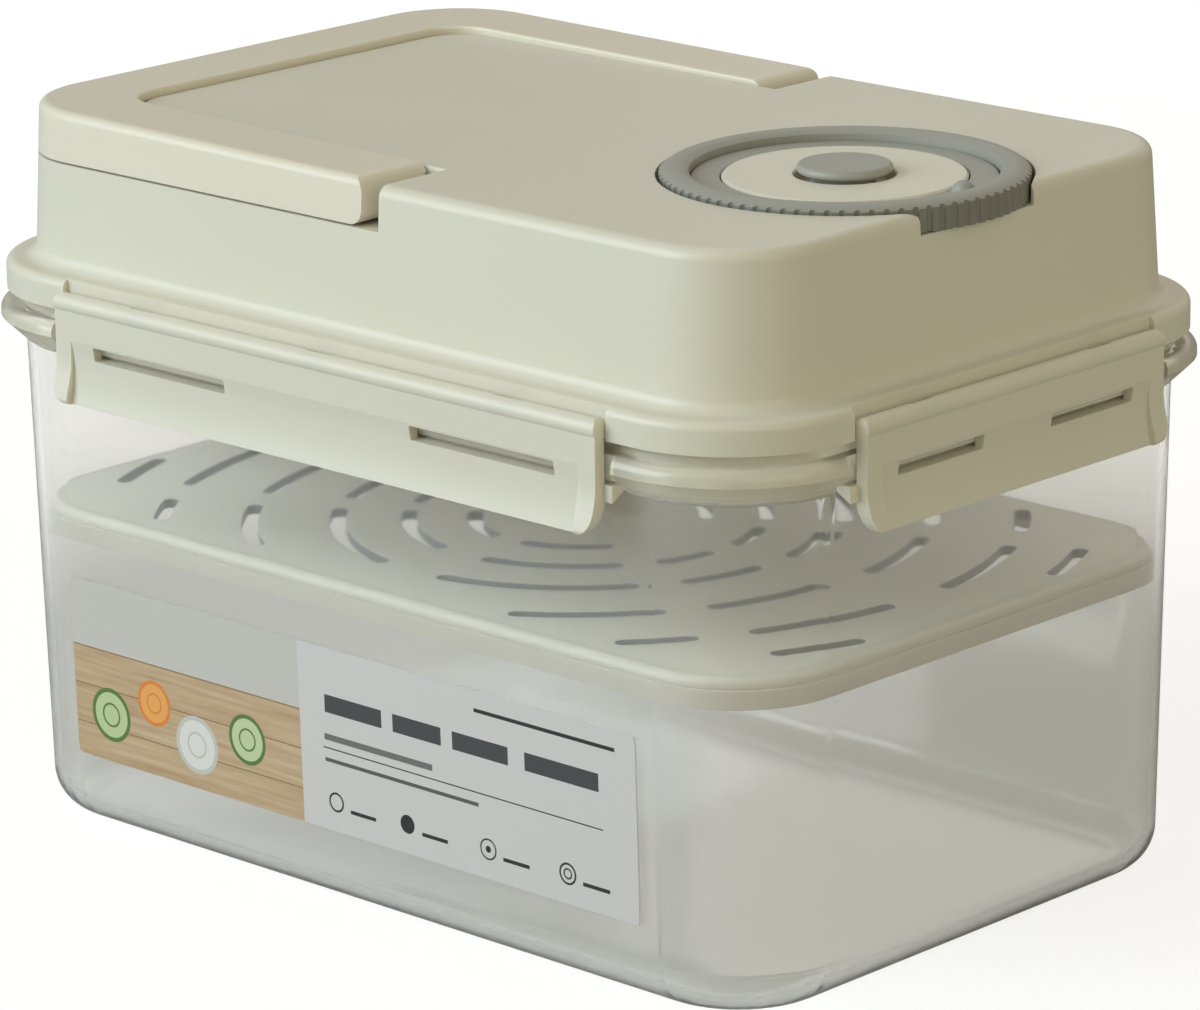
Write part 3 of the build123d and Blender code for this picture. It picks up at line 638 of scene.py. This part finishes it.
outline = [
    (inner_edge, band_low[2]),
    (foot_edge, band_low[2]),
    (foot_edge, band_under),
    (outer_edge, band_under),
]
outline += rounded_corner(outer_edge - round_off, 0)
flat_top = outer_edge - inner_edge - 2 * round_off
for k in range(1, rows_on_top):
    outline.append((outer_edge - round_off - flat_top * k / rows_on_top, band_top))
outline += rounded_corner(inner_edge + round_off, 90)
print("outline of the band:", len(outline), "points")

# %% Turn the pointer band
pointer_turn = math.radians(8)
pointer_rise = 0.0025
pointer_long = 0.0028
pointer_wide = 0.0025
band_steps = 540


def pointer_dome(radius, angle, height):
    """The lift of the band's top under the domed pointer."""
    if height < band_top - 0.00001:
        return 0
    along_radius = (radius - (inner_edge + outer_edge) / 2) / pointer_long
    turn_from = (angle - pointer_turn + math.pi) % (2 * math.pi) - math.pi
    across = radius * turn_from / pointer_wide
    return pointer_rise * max(0, 1 - along_radius ** 2 - across ** 2) ** 0.6


spokes = []
for step in range(band_steps):
    angle = 2 * math.pi * step / band_steps
    spokes.append([
        (
            middle[0] + radius * math.cos(angle),
            middle[1] + radius * math.sin(angle),
            height_here + pointer_dome(radius, angle, height_here),
        )
        for radius, height_here in outline
    ])
pointer_band = skinned("pointer_band", spokes, around=True, sharp_from=40)
pointer_band.data.materials.append(grey)
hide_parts("index_ring")
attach(pointer_band, "lid")
print("pointer band:", len(pointer_band.data.polygons), "faces, top at", round(1000 * band_top, 1), "mm")

# %% [markdown]
# ## The spring under the button
#
# A stiff copy of the spring would ride down with the button and sink into the floor of its
# well. The real one stands on that floor and closes up. So it is wound again here in the
# same place: a ring of points is carried up a helix. It rides on the lid with its foot.

# %% Wind the spring
spring_low, spring_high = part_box("vent_spring")
spring_wire = 0.0004
spring_turns = 5
steps_a_turn = 28
sides_of_wire = 10
spring_radius = (spring_high[0] - spring_low[0]) / 2 - spring_wire
spring_tall = spring_high[2] - spring_low[2]
climb = (spring_tall - 2 * spring_wire) / (2 * math.pi * spring_turns)

coil = []
for step in range(spring_turns * steps_a_turn + 1):
    angle = 2 * math.pi * step / steps_a_turn
    outward = Vector((math.cos(angle), math.sin(angle), 0))
    sideways = Vector((-math.sin(angle), math.cos(angle), 0))
    forward = (spring_radius * sideways + Vector((0, 0, climb))).normalized()
    across = outward.cross(forward)
    foot_of_wire = Vector((*middle, spring_low[2] + spring_wire + climb * angle))
    heart = foot_of_wire + spring_radius * outward
    bends = [2 * math.pi * side / sides_of_wire for side in range(sides_of_wire)]
    coil.append([
        heart + spring_wire * (math.cos(bend) * outward + math.sin(bend) * across)
        for bend in bends
    ])
button_spring = skinned("button_spring", coil, around=False, sharp_from=60)
button_spring.data.materials.append(steel)
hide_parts("vent_spring")
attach(button_spring, "lid")
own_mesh(button_spring)

# %% [markdown]
# ## Floor and surroundings
#
# The container stands on a plain pale floor in a room that the camera sees as white. The
# plastic must not mirror that much white, or its top would shine as if it were wet. So the
# room and the floor have three levels: one for rays straight from the camera, one for what
# shows through the clear tub, and none of it for the rest. What mirrors in the plastic, and
# the light that the room sheds, comes from a warm dim level. The floor keeps the soft
# shadow round the foot, so its own levels are dim close to the container and rise with the
# distance. That also keeps the inside of the tub from looking lit from below.

# %% Floor
def by_ray(graph, camera_level, through_level, other_level):
    """A level that depends on the ray: straight from the camera, through plastic, or other."""
    path = add(graph, "LightPath")
    level = other_level
    for name, value in (("Is Transmission Ray", through_level), ("Is Camera Ray", camera_level)):
        pick = add(graph, "Mix", data_type="FLOAT")
        join(graph, path.outputs[name], pick.inputs["Factor"])
        for socket, part in ((pick.inputs["A"], level), (pick.inputs["B"], value)):
            if isinstance(part, float):
                socket.default_value = part
            else:
                join(graph, part, socket)
        level = pick.outputs["Result"]
    return level


floor_finish, graph = new_finish("pale_floor")
matte = add(graph, "BsdfDiffuse", Color=(0.42, 0.41, 0.39, 1))
glow = add(graph, "Emission", Color=(1, 1, 1, 1))
spot = add(graph, "TexCoord")
how_far = add(graph, "VectorMath", operation="LENGTH")
join(graph, spot.outputs["Object"], how_far.inputs[0])
distance = how_far.outputs["Value"]
straight_on = ramp(graph, distance, 0.3, 1.6, 0.72, 0.88)
through_plastic = ramp(graph, distance, 0.25, 0.40, 0.25, 0.80)
join(graph, by_ray(graph, straight_on, through_plastic, 0.0), glow.inputs["Strength"])
together = add(graph, "AddShader")
join(graph, matte.outputs["BSDF"], together.inputs[0])
join(graph, glow.outputs["Emission"], together.inputs[1])
join(graph, together.outputs["Shader"], output(graph).inputs["Surface"])

reach = 6.0
below_foot = 0.0003
corners = [(x * reach, y * reach, -below_foot) for x, y in ((-1, -1), (1, -1), (1, 1), (-1, 1))]
floor_mesh = bpy.data.meshes.new("floor")
floor_mesh.from_pydata(corners, [], [(0, 1, 2, 3)])
floor_mesh.materials.append(floor_finish)
floor = bpy.data.objects.new("floor", floor_mesh)
bpy.context.collection.objects.link(floor)
print("floor", 2 * reach, "m square")

# %% Room
world = bpy.data.worlds.new("room")
bpy.context.scene.world = world
world.use_nodes = True
graph = world.node_tree
graph.nodes.clear()
room_light = add(graph, "Background", Color=(1.0, 0.93, 0.80, 1), Strength=0.34)
room_seen = add(graph, "Background", Color=(1, 1, 1, 1))
join(graph, by_ray(graph, 1.0, 0.80, 0.0), room_seen.inputs["Strength"])
choose = add(graph, "MixShader")
join(graph, by_ray(graph, 1.0, 1.0, 0.0), choose.inputs[0])
join(graph, room_light.outputs[0], choose.inputs[1])
join(graph, room_seen.outputs[0], choose.inputs[2])
world_out = add(graph, "OutputWorld")
join(graph, choose.outputs[0], world_out.inputs["Surface"])
bpy.context.scene.view_settings.view_transform = "Standard"
print("room: white for the camera, a warm dim light for the rest")

# %% [markdown]
# ## Studio light
#
# In the picture a large window on the left lights the labelled front most, the top less,
# and leaves the dial end in a warm half shade. A big square lamp at the left gives that. A
# weak warm one at the right keeps the shape of the shaded end, and a weak one behind lifts
# the top and the back.

# %% Lamps
def softbox(name, direction, away, size, watts, colour):
    """A square lamp that looks at the middle of the container."""
    lamp = bpy.data.lights.new(name, "AREA")
    lamp.size = size
    lamp.energy = watts
    lamp.color = colour
    holder = bpy.data.objects.new(name, lamp)
    aim = Vector((0, 0, 0.085))
    toward = Vector(direction).normalized()
    holder.location = aim + toward * away
    holder.rotation_euler = toward.to_track_quat("Z", "Y").to_euler()
    bpy.context.collection.objects.link(holder)
    print(name, [round(v, 2) for v in holder.location])


softbox("window_light", (-0.45, -0.80, 0.42), 2.2, 1.6, 38, (0.80, 0.93, 1.0))
softbox("warm_fill", (0.9, -0.25, 0.30), 1.8, 1.4, 6.0, (1.0, 0.98, 0.66))
softbox("back_light", (-0.25, 0.75, 0.62), 2.2, 2.0, 5.8, (1.0, 0.97, 0.90))
